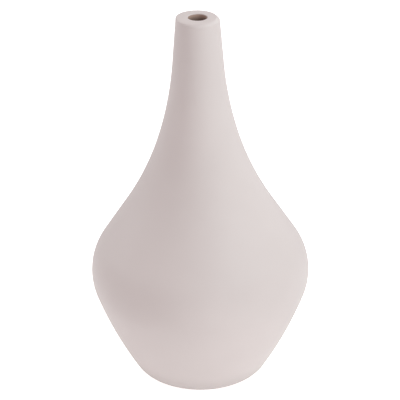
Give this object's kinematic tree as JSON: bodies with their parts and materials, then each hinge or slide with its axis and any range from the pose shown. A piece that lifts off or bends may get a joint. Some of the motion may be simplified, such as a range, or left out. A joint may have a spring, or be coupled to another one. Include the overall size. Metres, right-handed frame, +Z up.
{
  "type": "bud vase",
  "caption": "Tall ceramic bud vase in a pale matt coat: a low round belly that tapers to the foot, a long narrowing neck and a small bore for a single stem.",
  "frame": {"origin": "centre of the felt disc's lower face, which the vase stands on", "axes": "+Z up along the vase's axis of revolution, out through the mouth; X and Y are free, because the vase is round"},
  "size_m": [0.121, 0.121, 0.21],
  "materials": {
    "fired_clay": "matte",
    "matt_coat": "matte",
    "liner_coat": "satin",
    "felt": "matte"
  },
  "bodies": {
    "root": {"clay_body": "fired_clay", "matt_coat": "matt_coat", "liner_coat": "liner_coat", "felt_disc": "felt"}
  },
  "joints": []
}
